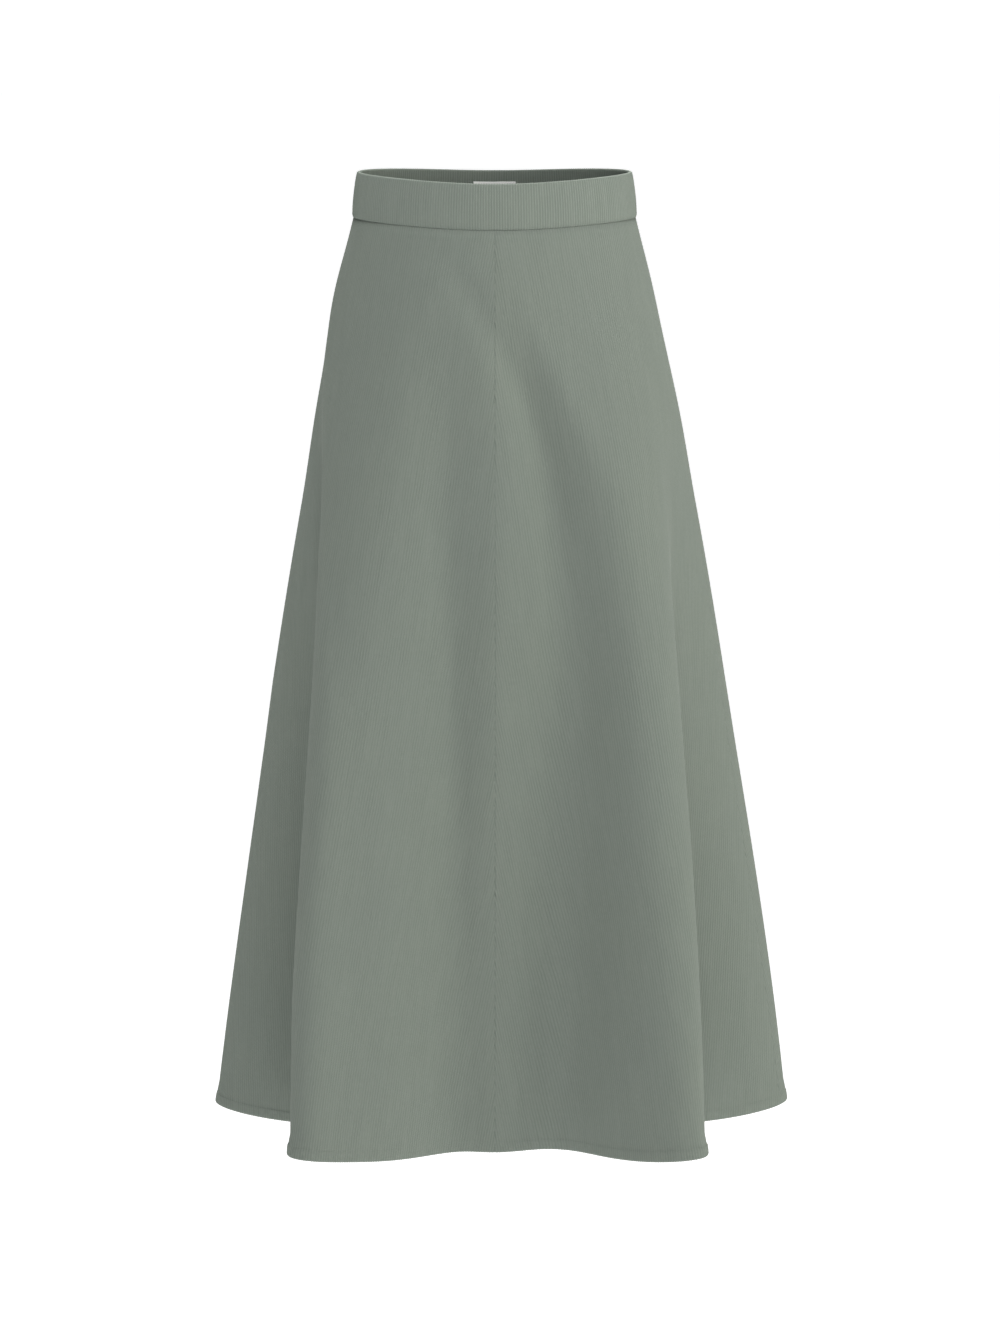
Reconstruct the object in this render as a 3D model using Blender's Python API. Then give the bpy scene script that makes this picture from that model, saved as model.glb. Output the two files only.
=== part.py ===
"""Knit A-line skirt, standing open and hollow as it is worn.

Four gores of rib knit hang from a folded waistband. All gores are cut alike, so each takes a
quarter of every ring of the skirt, and the cloth keeps its length from the waist seam to the hem
on every path down: where a fold leans out, the hem rises by what the lean uses up.

Metres, +Z up. The front faces -Y and the wearer's left is +X. The origin is the centre of the
waist, half way up the waistband. A level is a share of the cloth's length below the waist seam,
an azimuth is counted in degrees from the front towards the wearer's left, and a share round is a
share of a ring's length, counted the same way from the centre front.
"""

import math

import bpy
import numpy as np

# Driving dimensions.
CLOTH_LENGTH = 0.860  # waist seam to hem fold, along the cloth
CLOTH_THICKNESS = 0.0016
SEAM_GAP = 0.0003
HEM_DEPTH = 0.010  # turned up inside
WAIST_LIFT = 0.005  # the waist is this much higher at the sides than at the front and back

BAND_HEIGHT = 0.042
BAND_THICKNESS = 0.0036  # two layers of rib, folded over at the rim
BAND_RIM = (0.1275, 0.0940)  # half width and half depth of the outer face
BAND_FOOT = (0.1325, 0.0978)
BAND_ROLL = (0.0050, 0.0012)  # height and depth of the rounded lower edge

LABEL_WIDTH = 0.042
LABEL_HEIGHT = 0.020
LABEL_THICKNESS = 0.0006
LABEL_BELOW_RIM = 0.011

# The plain cone that the folds stand out from: level, half width, depth to front, depth to back.
CONE_SECTIONS = np.array(
    [
        (0.00, 0.1310, 0.0965, 0.0965),
        (0.10, 0.1515, 0.1140, 0.1160),
        (0.20, 0.1610, 0.1250, 0.1310),
        (0.32, 0.1590, 0.1310, 0.1390),
        (0.60, 0.1480, 0.1330, 0.1440),
        (1.00, 0.1440, 0.1310, 0.1460),
    ]
)

# One row a fold: azimuth of its crest at the hip and at the hem, its reach round the ring before
# and after the crest, how far it stands out at the hem, and the level where it starts.
FOLDS = {
    "centre_front": (0, 0, 0.050, 0.050, 0.006, 0.00),
    "front_left": (54, 43, 0.060, 0.053, 0.140, 0.05),
    "side_left": (102, 91, 0.064, 0.068, 0.137, 0.08),
    "back_left": (150, 144, 0.070, 0.074, 0.136, 0.06),
    "back_right": (214, 219, 0.072, 0.070, 0.136, 0.06),
    "side_right": (258, 269, 0.070, 0.064, 0.127, 0.12),
    "front_right": (305, 317.5, 0.053, 0.070, 0.135, 0.05),
}
FOLD_EASE = 0.15  # share of the fold's run in which it rises out of the plain cloth
FOLD_EARLY = 0.5  # how far a fold is ahead of straight growth
RING_RADIUS = (0.130, 0.240)  # mean radius of the ring at the waist and at the hem

# The gores in order round the skirt from the centre front.
GORES = ("front_left", "back_left", "back_right", "front_right")
GORE_ROWS = 18
GORE_COLUMNS = 29
ROW_CROWDING = 1.3  # over 1 sets the rows closer together towards the waist
BAND_COLUMNS = 72

# The wall's lower end, where the hem is folded up: height over the fold's lowest line, then how
# deep the outer and the inner face lie under the cloth's outer side.
HEM_PROFILE = np.array(
    [
        (HEM_DEPTH + 0.0008, 0.0000, CLOTH_THICKNESS),
        (HEM_DEPTH, 0.0000, 2.0 * CLOTH_THICKNESS),
        (0.0013, 0.0001, 2.1 * CLOTH_THICKNESS),
        (0.0003, 0.0007, 1.7 * CLOTH_THICKNESS),
        (0.0000, 0.0014, 1.3 * CLOTH_THICKNESS),
    ]
)

# How finely the hanging cloth is worked out before its gores are read from it.
TABLE_LEVELS = 400
TABLE_AROUND = 1440


def through_rows(at, rows):
    """A smooth curve through a table's rows, read at the given values of its first column."""
    knots, values = rows[:, 0], rows[:, 1:]
    slopes = np.diff(values, axis=0) / np.diff(knots)[:, None]
    tangents = np.vstack([slopes[:1], (slopes[:-1] + slopes[1:]) / 2, slopes[-1:]])
    left = np.clip(np.searchsorted(knots, at, side="right") - 1, 0, len(knots) - 2)
    span = (knots[left + 1] - knots[left])[:, None]
    t = (at[:, None] - knots[left][:, None]) / span
    return (
        (2 * t**3 - 3 * t**2 + 1) * values[left]
        + (t**3 - 2 * t**2 + t) * span * tangents[left]
        + (3 * t**2 - 2 * t**3) * values[left + 1]
        + (t**3 - t**2) * span * tangents[left + 1]
    )


def ellipse_radii(azimuths, half_width, half_depth):
    """Distance of an ellipse from its centre at each azimuth."""
    across = np.sin(np.radians(azimuths)) / half_width
    forward = np.cos(np.radians(azimuths)) / half_depth
    return 1 / np.hypot(across, forward)


def fold_growth(levels, start):
    """0 where a fold starts and 1 at the hem: it eases out of the plain cloth, then grows evenly."""
    run = np.clip((levels - start) / (1 - start), 0, 1)
    eased = np.sqrt(run**2 + FOLD_EASE**2) - FOLD_EASE
    eased /= math.sqrt(1 + FOLD_EASE**2) - FOLD_EASE
    return eased * (1 + FOLD_EARLY * (1 - run))


def ring_radii(levels, azimuths):
    """Distance of the cloth's outer side from the axis, by level and azimuth."""
    cone = through_rows(levels, CONE_SECTIONS)
    in_front = np.cos(np.radians(azimuths)) >= 0
    half_depth = np.where(in_front, cone[:, 1:2], cone[:, 2:3])
    radii = ellipse_radii(azimuths, cone[:, 0:1], half_depth)
    ring_radius = np.interp(levels, (0, 1), RING_RADIUS)[:, None]
    for at_hip, at_hem, before, after, stands_out, start in FOLDS.values():
        run = np.clip((levels - start) / (1 - start), 0, 1)
        crest = (at_hip + (at_hem - at_hip) * run)[:, None]
        away = np.radians((azimuths - crest + 180) % 360 - 180) * ring_radius
        shape = np.exp(-((away / np.where(away < 0, before, after)) ** 2))
        radii = radii + stands_out * fold_growth(levels, start)[:, None] * shape
    return radii


def waist_lift(azimuths):
    return WAIST_LIFT * np.sin(np.radians(azimuths)) ** 2


def hanging_cloth():
    """Points of the cloth's outer side, level by azimuth; the last azimuth repeats the first."""
    levels = np.linspace(0, 1, TABLE_LEVELS + 1)
    azimuths = np.linspace(0, 360, TABLE_AROUND + 1)
    radii = ring_radii(levels, azimuths)
    step = CLOTH_LENGTH / TABLE_LEVELS
    drops = np.sqrt(step**2 - np.diff(radii, axis=0) ** 2)
    below_seam = np.vstack([np.zeros(len(azimuths)), np.cumsum(drops, axis=0)])
    seam = -BAND_HEIGHT / 2 - SEAM_GAP + waist_lift(azimuths) * (1 - levels[:, None]) ** 4
    x = radii * np.sin(np.radians(azimuths))
    y = -radii * np.cos(np.radians(azimuths))
    return np.stack([x, y, seam - below_seam], axis=-1)


CLOTH = hanging_cloth()


def cloth_points(levels, shares):
    """Points of the cloth at each level, with one row of shares round for each level."""
    points = np.empty(shares.shape + (3,))
    for row, level in enumerate(levels):
        place = np.clip(level, 0, 1) * TABLE_LEVELS
        above = min(int(place), TABLE_LEVELS - 1)
        ring = CLOTH[above] + (CLOTH[above + 1] - CLOTH[above]) * (place - above)
        sides = np.linalg.norm(np.diff(ring, axis=0), axis=1)
        lengths = np.concatenate([[0], np.cumsum(sides)])
        around = (shares[row] % 1.0) * lengths[-1]
        for axis in range(3):
            points[row, :, axis] = np.interp(around, lengths, ring[:, axis])
    return points


def cloth_normals(levels, shares):
    """Directions straight out of the cloth at the same places."""
    down = cloth_points(levels + 0.004, shares) - cloth_points(levels - 0.004, shares)
    along = cloth_points(levels, shares + 0.002) - cloth_points(levels, shares - 0.002)
    normals = np.cross(down, along)
    return normals / np.linalg.norm(normals, axis=-1, keepdims=True)


def ring_lengths(levels):
    """Length round the skirt at each level."""
    rings = CLOTH[np.round(np.clip(levels, 0, 1) * TABLE_LEVELS).astype(int)]
    return np.linalg.norm(np.diff(rings, axis=1), axis=2).sum(axis=1)


def make_material(name, colour, roughness):
    material = bpy.data.materials.new(name)
    material.use_nodes = True
    shader = material.node_tree.nodes["Principled BSDF"]
    shader.inputs["Base Color"].default_value = (*colour, 1.0)
    shader.inputs["Roughness"].default_value = roughness
    shader.inputs["Metallic"].default_value = 0.0
    return material


def make_loft(name, loops, closed_round, material):
    """A solid through loops[i, j]: i runs round its cross-section, j from one end to the other.

    Ends that don't meet are closed across the wall, between the loop's first and second half.
    """
    count, ends = loops.shape[:2]
    index = np.arange(count * ends).reshape(count, ends)
    if closed_round:
        index = np.hstack([index, index[:, :1]])
    below = np.roll(index, -1, axis=0)
    sides = np.stack([index[:, :-1], below[:, :-1], below[:, 1:], index[:, 1:]], axis=-1)
    faces = sides.reshape(-1, 4).tolist()
    if not closed_round:
        outer = index[: count // 2]
        inner = index[: count // 2 - 1 : -1]
        caps = np.stack([outer[:-1], inner[:-1], inner[1:], outer[1:]], axis=-1)
        faces += caps[:, 0].tolist() + caps[:, -1, ::-1].tolist()
    mesh = bpy.data.meshes.new(name)
    mesh.from_pydata(loops.reshape(-1, 3).tolist(), [], faces)
    mesh.shade_smooth()
    mesh.set_sharp_from_angle(angle=math.radians(45))
    mesh.materials.append(material)
    return bpy.data.objects.new(name, mesh)


def make_gore(name, number, material):
    """One gore: the wall between two seams, with its hem folded up inside."""
    hem_levels = 1 - HEM_PROFILE[:, 0] / CLOTH_LENGTH
    plain_levels = hem_levels[0] * np.linspace(0, 1, GORE_ROWS) ** ROW_CROWDING
    levels = np.concatenate([plain_levels[:-1], hem_levels])
    plain_rows = len(levels) - len(HEM_PROFILE)
    outer_depth = np.concatenate([np.zeros(plain_rows), HEM_PROFILE[:, 1]])
    inner_depth = np.concatenate([np.full(plain_rows, CLOTH_THICKNESS), HEM_PROFILE[:, 2]])
    inset = SEAM_GAP / 2 / ring_lengths(levels)[:, None]
    columns = np.linspace(0, 1, GORE_COLUMNS)
    quarter = 1 / len(GORES)
    shares = number * quarter + inset + columns * (quarter - 2 * inset)
    points = cloth_points(levels, shares)
    normals = cloth_normals(levels, shares)
    outer = points - outer_depth[:, None, None] * normals
    inner = points - inner_depth[:, None, None] * normals
    return make_loft(name, np.vstack([outer, inner[::-1]]), False, material)


def band_points(heights, inward, azimuths):
    """Points of the band at heights over the waist seam, this far inside its outer face."""
    share = (heights / BAND_HEIGHT)[:, None]
    half_width = BAND_FOOT[0] + (BAND_RIM[0] - BAND_FOOT[0]) * share - inward[:, None]
    half_depth = BAND_FOOT[1] + (BAND_RIM[1] - BAND_FOOT[1]) * share - inward[:, None]
    radii = ellipse_radii(azimuths, half_width, half_depth)
    x = radii * np.sin(np.radians(azimuths))
    y = -radii * np.cos(np.radians(azimuths))
    z = heights[:, None] - BAND_HEIGHT / 2 + waist_lift(azimuths)
    return np.stack([x, y, z], axis=-1)


def make_waistband(material):
    """A closed ring: a rounded fold at the rim and a lower edge that rolls in to the seam."""
    rim_radius = BAND_THICKNESS / 2
    over_rim = np.radians(np.linspace(0, 180, 7))
    rim_heights = BAND_HEIGHT - rim_radius + rim_radius * np.sin(over_rim)
    rim_inward = rim_radius * (1 - np.cos(over_rim))
    under_roll = np.radians(np.linspace(90, 0, 4))
    roll_heights = BAND_ROLL[0] * (1 - np.sin(under_roll))
    roll_inward = BAND_ROLL[1] * (1 - np.cos(under_roll))
    middle = BAND_HEIGHT / 2
    heights = np.concatenate([[0.0, middle], rim_heights[::-1], [middle], roll_heights[::-1]])
    inner_face = [BAND_THICKNESS, BAND_THICKNESS]
    inward = np.concatenate([inner_face, rim_inward[::-1], [0.0], roll_inward[::-1]])
    azimuths = np.linspace(0, 360, BAND_COLUMNS, endpoint=False)
    return make_loft("waistband", band_points(heights, inward, azimuths), True, material)


def make_label(material):
    """A bare strip inside the centre back, made from the band's inner points, moved inwards."""
    top = BAND_HEIGHT - LABEL_BELOW_RIM
    heights = np.linspace(top, top - LABEL_HEIGHT, 4)
    reach = math.degrees(math.atan(LABEL_WIDTH / 2 / (BAND_FOOT[1] - BAND_THICKNESS)))
    azimuths = np.linspace(180 - reach, 180 + reach, 9)
    back_face = np.full(len(heights), BAND_THICKNESS + SEAM_GAP)
    outer = band_points(heights, back_face, azimuths)
    inner = band_points(heights, back_face + LABEL_THICKNESS, azimuths)
    return make_loft("label", np.vstack([outer, inner[::-1]]), False, material)


def main():
    for leftover in list(bpy.data.objects):
        bpy.data.objects.remove(leftover)
    collection = bpy.data.collections.new("knit_a_line_skirt")
    bpy.context.scene.collection.children.link(collection)
    waist = bpy.data.objects.new("waist", None)
    collection.objects.link(waist)

    rib_knit = make_material("sage rib knit", (0.216, 0.246, 0.216), 0.9)
    label_tape = make_material("white label tape", (0.85, 0.85, 0.83), 0.6)
    parts = [make_gore(name, number, rib_knit) for number, name in enumerate(GORES)]
    parts.append(make_waistband(rib_knit))
    parts.append(make_label(label_tape))
    for part in parts:
        collection.objects.link(part)
        part.parent = waist


main()
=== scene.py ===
"""Knit A-line skirt, standing open and hollow as it is worn.

Four gores of sage rib knit, a waistband folded over at the rim, and a bare white label inside
the back of the band. Metres, +Z up. The front faces -Y and the wearer's left is +X. A level is a
share of the cloth's length below the waist seam. An azimuth is counted in degrees from the front
towards the wearer's left, and a share round is a share of a ring's length, counted the same way.
"""

import math

import bmesh
import bpy
import numpy as np
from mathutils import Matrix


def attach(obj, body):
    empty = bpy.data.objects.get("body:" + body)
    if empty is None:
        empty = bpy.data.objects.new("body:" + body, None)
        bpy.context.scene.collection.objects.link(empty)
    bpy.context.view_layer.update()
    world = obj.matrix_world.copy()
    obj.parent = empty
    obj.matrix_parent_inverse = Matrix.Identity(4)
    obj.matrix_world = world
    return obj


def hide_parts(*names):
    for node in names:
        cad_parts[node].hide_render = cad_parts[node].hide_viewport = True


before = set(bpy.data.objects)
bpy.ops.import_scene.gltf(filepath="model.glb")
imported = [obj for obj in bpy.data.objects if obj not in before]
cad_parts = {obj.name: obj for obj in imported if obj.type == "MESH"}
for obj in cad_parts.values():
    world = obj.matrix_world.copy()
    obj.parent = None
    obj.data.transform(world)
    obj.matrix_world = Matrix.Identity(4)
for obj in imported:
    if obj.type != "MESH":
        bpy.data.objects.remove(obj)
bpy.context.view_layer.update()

# ---- The four gores ------------------------------------------------------------------------
# Front left, front right, back left and back right are cut alike from a fine one-by-one rib
# knit: narrow at the waist, wide at the hem, the ribs parallel to the middle of the gore, so that
# they run out at the slanting seams and meet there in a long chevron. The hem is turned up once.

CLOTH_LENGTH = 0.860  # waist seam to hem fold, along the cloth
CLOTH_THICKNESS = 0.0016
WAIST_LIFT = 0.005  # the waist is this much higher at the sides than at the front and back
WAIST_LIFT_POWER = 4  # power of the share of the cloth still below, by which that height fades
BAND_HEIGHT = 0.042
GORES = ("front_left", "back_left", "back_right", "front_right")

# The plain cone that the folds stand out from: level, half width, depth to front, depth to back.
CONE_SECTIONS = np.array(
    [
        (0.00, 0.1310, 0.0965, 0.0965),
        (0.10, 0.1515, 0.1140, 0.1160),
        (0.20, 0.1610, 0.1250, 0.1310),
        (0.32, 0.1590, 0.1310, 0.1390),
        (0.60, 0.1480, 0.1330, 0.1440),
        (1.00, 0.1440, 0.1310, 0.1460),
    ]
)

# One row a fold: azimuth of its crest at the hip and at the hem, its reach round the ring before
# and after the crest, how far it stands out at the hem, and the level where it starts.
FOLDS = {
    "centre_front": (0, 0, 0.050, 0.050, 0.006, 0.00),
    "front_left": (54, 43, 0.060, 0.053, 0.140, 0.05),
    "side_left": (102, 91, 0.064, 0.068, 0.137, 0.08),
    "back_left": (150, 144, 0.070, 0.074, 0.136, 0.06),
    "back_right": (214, 219, 0.072, 0.070, 0.136, 0.06),
    "side_right": (258, 269, 0.070, 0.064, 0.127, 0.12),
    "front_right": (305, 317.5, 0.053, 0.070, 0.135, 0.05),
}
FOLD_EASE = 0.15  # share of the fold's run in which it rises out of the plain cloth
FOLD_EARLY = 0.5  # how far a fold is ahead of straight growth
RING_RADIUS = (0.130, 0.240)  # mean radius of the ring at the waist and at the hem

# The soft creases of cloth that hangs: level where each starts and ends, azimuth at its start,
# middle and end, half width, and height, which is below 0 for a trough. The last ones lie in the
# hem, which flares a little where a fold carries it.
CREASES = {
    "front_left_trough": (0.05, 0.66, 5, 25.5, 26, 0.028, -0.0118),
    "left_hip_trough": (0.00, 0.36, -34, 13, 21, 0.018, -0.0042),
    "left_hip_ridge": (0.03, 0.40, 0, 35, 41, 0.018, 0.0034),
    "front_left_hollow": (0.42, 1.32, 28, 26, 25, 0.033, -0.0145),
    "front_left_ridge": (0.08, 0.98, 51, 40.5, 37, 0.021, 0.0038),
    "front_right_trough": (0.03, 0.85, -24, -18, -18, 0.027, -0.0060),
    "front_right_ridge": (0.02, 0.92, -96, -49, -51, 0.013, 0.0040),
    "front_right_valley": (0.58, 1.20, -38, -35, -33, 0.019, -0.0064),
    "centre_front_ridge": (0.05, 0.66, 2, 2, 1, 0.020, 0.0022),
    "left_side_valley": (0.26, 0.66, 73, 73, 77, 0.009, -0.0016),
    "right_side_valley": (0.14, 0.90, -88, -63, -59, 0.016, -0.0085),
    "right_side_slack": (0.52, 1.15, -93, -93, -92, 0.050, -0.0040),
    "left_side_trough": (0.10, 0.58, 98, 112, 115, 0.020, -0.0026),
    "right_side_trough": (0.16, 0.70, -104, -112, -114, 0.022, -0.0022),
    "back_left_trough": (0.05, 0.66, 170, 158, 156, 0.024, -0.0036),
    "centre_back_ridge": (0.08, 0.78, 181, 181, 180, 0.017, 0.0019),
    "back_right_trough": (0.07, 0.80, 192, 200, 199, 0.025, -0.0031),
    "back_left_valley": (0.58, 1.18, 124, 121, 119, 0.018, -0.0026),
    "back_right_valley": (0.66, 1.22, 237, 240, 243, 0.020, -0.0029),
    "front_right_flare": (0.976, 1.022, -50, -50, -50, 0.030, 0.0034),
    "front_left_flare": (0.978, 1.020, 47, 47, 47, 0.032, 0.0027),
    "left_side_flare": (0.975, 1.022, 94, 94, 94, 0.036, 0.0016),
    "back_left_flare": (0.977, 1.021, 141, 141, 141, 0.034, 0.0024),
    "back_right_flare": (0.974, 1.023, 221, 221, 221, 0.030, 0.0030),
    "right_side_flare": (0.978, 1.020, 268, 268, 268, 0.034, 0.0014),
}

TABLE_LEVELS = 430  # how finely the hanging cloth is worked out before its gores are read from it
TABLE_AROUND = 2880


def through_rows(at, rows):
    """A smooth curve through a table's rows: a cubic between each two, with averaged slopes."""
    knots, values = rows[:, 0], rows[:, 1:]
    slopes = np.diff(values, axis=0) / np.diff(knots)[:, None]
    tangents = np.vstack([slopes[:1], (slopes[:-1] + slopes[1:]) / 2, slopes[-1:]])
    left = np.clip(np.searchsorted(knots, at, side="right") - 1, 0, len(knots) - 2)
    span = (knots[left + 1] - knots[left])[:, None]
    t = (at[:, None] - knots[left][:, None]) / span
    return (
        (2 * t**3 - 3 * t**2 + 1) * values[left]
        + (t**3 - 2 * t**2 + t) * span * tangents[left]
        + (3 * t**2 - 2 * t**3) * values[left + 1]
        + (t**3 - t**2) * span * tangents[left + 1]
    )


def ellipse_radii(azimuths, half_width, half_depth):
    """Distance of an ellipse from its centre: one over the root of (sin/a)^2 + (cos/b)^2."""
    across = np.sin(np.radians(azimuths)) / half_width
    forward = np.cos(np.radians(azimuths)) / half_depth
    return 1 / np.hypot(across, forward)


def fold_growth(levels, start):
    """0 where a fold starts and 1 at the hem: a hyperbola's branch, so it eases in, then is even."""
    run = np.clip((levels - start) / (1 - start), 0, 1)
    eased = np.sqrt(run**2 + FOLD_EASE**2) - FOLD_EASE
    eased /= math.sqrt(1 + FOLD_EASE**2) - FOLD_EASE
    return eased * (1 + FOLD_EARLY * (1 - run))


def ring_radii(levels, azimuths):
    """The cone's ellipse, plus a bell curve round the ring for each fold, by level and azimuth."""
    cone = through_rows(levels, CONE_SECTIONS)
    in_front = np.cos(np.radians(azimuths)) >= 0
    half_depth = np.where(in_front, cone[:, 1:2], cone[:, 2:3])
    radii = ellipse_radii(azimuths, cone[:, 0:1], half_depth)
    ring_radius = np.interp(levels, (0, 1), RING_RADIUS)[:, None]
    for at_hip, at_hem, before, after, stands_out, start in FOLDS.values():
        run = np.clip((levels - start) / (1 - start), 0, 1)
        crest = (at_hip + (at_hem - at_hip) * run)[:, None]
        away = np.radians((azimuths - crest + 180) % 360 - 180) * ring_radius
        shape = np.exp(-((away / np.where(away < 0, before, after)) ** 2))
        radii = radii + stands_out * fold_growth(levels, start)[:, None] * shape
    return radii


def waist_lift(azimuths):
    """How far the waist rises towards the sides: a sine squared round the ring."""
    return WAIST_LIFT * np.sin(np.radians(azimuths)) ** 2


def hanging_cloth():
    """Points of the cloth's outer side: each step down a path uses up the same length of cloth."""
    levels = np.linspace(0, 1, TABLE_LEVELS + 1)
    azimuths = np.linspace(0, 360, TABLE_AROUND + 1)
    radii = ring_radii(levels, azimuths)
    step = CLOTH_LENGTH / TABLE_LEVELS
    drops = np.sqrt(step**2 - np.diff(radii, axis=0) ** 2)
    below_seam = np.vstack([np.zeros(len(azimuths)), np.cumsum(drops, axis=0)])
    kept = (1 - levels[:, None]) ** WAIST_LIFT_POWER
    seam = -BAND_HEIGHT / 2 + waist_lift(azimuths) * kept
    x = radii * np.sin(np.radians(azimuths))
    y = -radii * np.cos(np.radians(azimuths))
    return np.stack([x, y, seam - below_seam], axis=-1)


CLOTH = hanging_cloth()


def cloth_points(levels, shares):
    """Points of the cloth at each level, with one row of shares round for each level."""
    points = np.empty(shares.shape + (3,))
    for row, level in enumerate(levels):
        place = np.clip(level, 0, 1) * TABLE_LEVELS
        above = min(int(place), TABLE_LEVELS - 1)
        ring = CLOTH[above] + (CLOTH[above + 1] - CLOTH[above]) * (place - above)
        sides = np.linalg.norm(np.diff(ring, axis=0), axis=1)
        lengths = np.concatenate([[0], np.cumsum(sides)])
        around = (shares[row] % 1.0) * lengths[-1]
        for axis in range(3):
            points[row, :, axis] = np.interp(around, lengths, ring[:, axis])
    return points


LEVEL_STEP = 0.004  # the cloth's slope is taken over twice these steps down and round
SHARE_STEP = 0.002


def unit(vectors):
    """The same directions, each one metre long: divided by the root of the sum of squares."""
    return vectors / np.linalg.norm(vectors, axis=-1, keepdims=True)


def ring_lengths(levels):
    """Length round the skirt at each level."""
    rings = CLOTH[np.round(np.clip(levels, 0, 1) * TABLE_LEVELS).astype(int)]
    return np.linalg.norm(np.diff(rings, axis=1), axis=2).sum(axis=1)


def crease_heights(levels, azimuths):
    """Height of the soft creases: a bell curve across each path, a half sine wave along it."""
    heights = np.zeros(azimuths.shape)
    for start, end, at_start, at_middle, at_end, half_width, height in CREASES.values():
        run = np.clip((levels - start) / (end - start), 0, 1)[:, None]
        path = at_start * (1 - run) * (1 - 2 * run) + at_middle * 4 * run * (1 - run)
        path = path + at_end * run * (2 * run - 1)
        radius = np.interp(levels, (0, 1), RING_RADIUS)[:, None]
        away = np.radians((azimuths - path + 180) % 360 - 180) * radius
        heights = heights + height * np.sin(np.pi * run) * np.exp(-((away / half_width) ** 2))
    return heights


# The rib knit: each rib's width and height, and its cross-section as phase across it and height.
RIB_PITCH = 0.00245
RIB_DEPTH = 0.00035
RIB_SECTION = np.array([(0.00, 0.0), (0.22, 0.75), (0.50, 1.0), (0.78, 0.75)])
RIB_MEAN = 0.7  # the part of a rib's height, near its average, that lies on the smooth cloth
RIB_FADE = 0.0012  # the ribs sink into a seam over this width
SEAM_ROLL = (0.0012, 0.00010)  # width and depth of the cloth's turn into a seam
RIB_UNEVEN = 0.35  # how much less a rib is raised where the knit is pulled flat
# It is pulled flat in waves across the gore, which a second wave bends. In radians: the first
# wave's for each metre, the bend, and the second wave's down the gore and for each metre across.
PULL_WAVE = 210
PULL_BEND = 3.0
PULL_BEND_DOWN = 9
PULL_BEND_ACROSS = 37
GORE_ROWS = 104  # from the waist seam to just above the hem

# The hem: how far it is turned up, how far it stands out, and the inner face of its turn-up.
HEM_DEPTH = 0.010
HEM_PROUD = 0.0006
HEM_LEDGE = 0.0005  # half the height over which the doubled cloth steps out
HEM_INNER = 0.0033
HEM_ROUND = (HEM_INNER + HEM_PROUD) / 2  # radius of the fold
HEM_EDGE_ROUND = 0.0004
HEM_OUTER_ROWS = 3
HEM_TURN_STEP = 20  # degrees between two rows round the fold
# How strongly the turn-up's edge shows through the cloth: azimuth, share.
HEM_SHOWS = np.array(
    [(-180, 0.5), (-150, 1.1), (-118, 0.4), (-85, 0.8), (-60, 1.0), (-45, 1.4), (-31, 0.5),
     (-8, 0.2), (4, 0.8), (28, 1.0), (48, 1.3), (70, 0.5), (95, 0.9), (130, 0.4), (152, 1.2),
     (180, 0.5)]
)


def gore_columns(widest):
    """Distances across a gore from its middle, four a rib, and the rib's height at each."""
    ribs = np.arange(-math.ceil(widest / RIB_PITCH), math.ceil(widest / RIB_PITCH))
    across = (ribs[:, None] + RIB_SECTION[:, 0]).ravel() * RIB_PITCH
    heights = np.tile(RIB_SECTION[:, 1], len(ribs))
    return np.append(across, -across[0]), np.append(heights, RIB_SECTION[0, 1])


def hem_section():
    """The doubled hem's section: down the outside, half a circle, and up the inside. Its columns are
    height over the lowest line, depth under the cloth's outer side, share of the step outwards, which
    a cubic eases in and out, and the turn of the face in degrees."""
    ledge = np.array([1.0, 0.5, 0.0, -0.5, -1.0])
    outside = np.linspace(HEM_DEPTH - 2 * HEM_LEDGE, HEM_ROUND, HEM_OUTER_ROWS + 1)[1:]
    turn = np.arange(HEM_TURN_STEP, 180, HEM_TURN_STEP)
    circle_height = HEM_ROUND * (1 - np.sin(np.radians(turn)))
    circle_depth = (HEM_INNER / 2) * (1 - np.cos(np.radians(turn)))
    inside = [
        (HEM_ROUND, HEM_INNER),
        (HEM_DEPTH / 2, HEM_INNER),
        (HEM_DEPTH - HEM_EDGE_ROUND, HEM_INNER),
        (HEM_DEPTH, HEM_INNER - HEM_EDGE_ROUND),
        (HEM_DEPTH, CLOTH_THICKNESS),
    ]
    rows = [(HEM_DEPTH + HEM_LEDGE * at, 0, (1 - at) ** 2 * (2 + at) / 4, 0) for at in ledge]
    rows += [(height, 0, 1, 0) for height in outside]
    rows += zip(circle_height, circle_depth, 1 - turn / 180, turn)
    rows += [(height, depth, 0, 180) for height, depth in inside]
    return np.array(rows).T


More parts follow.
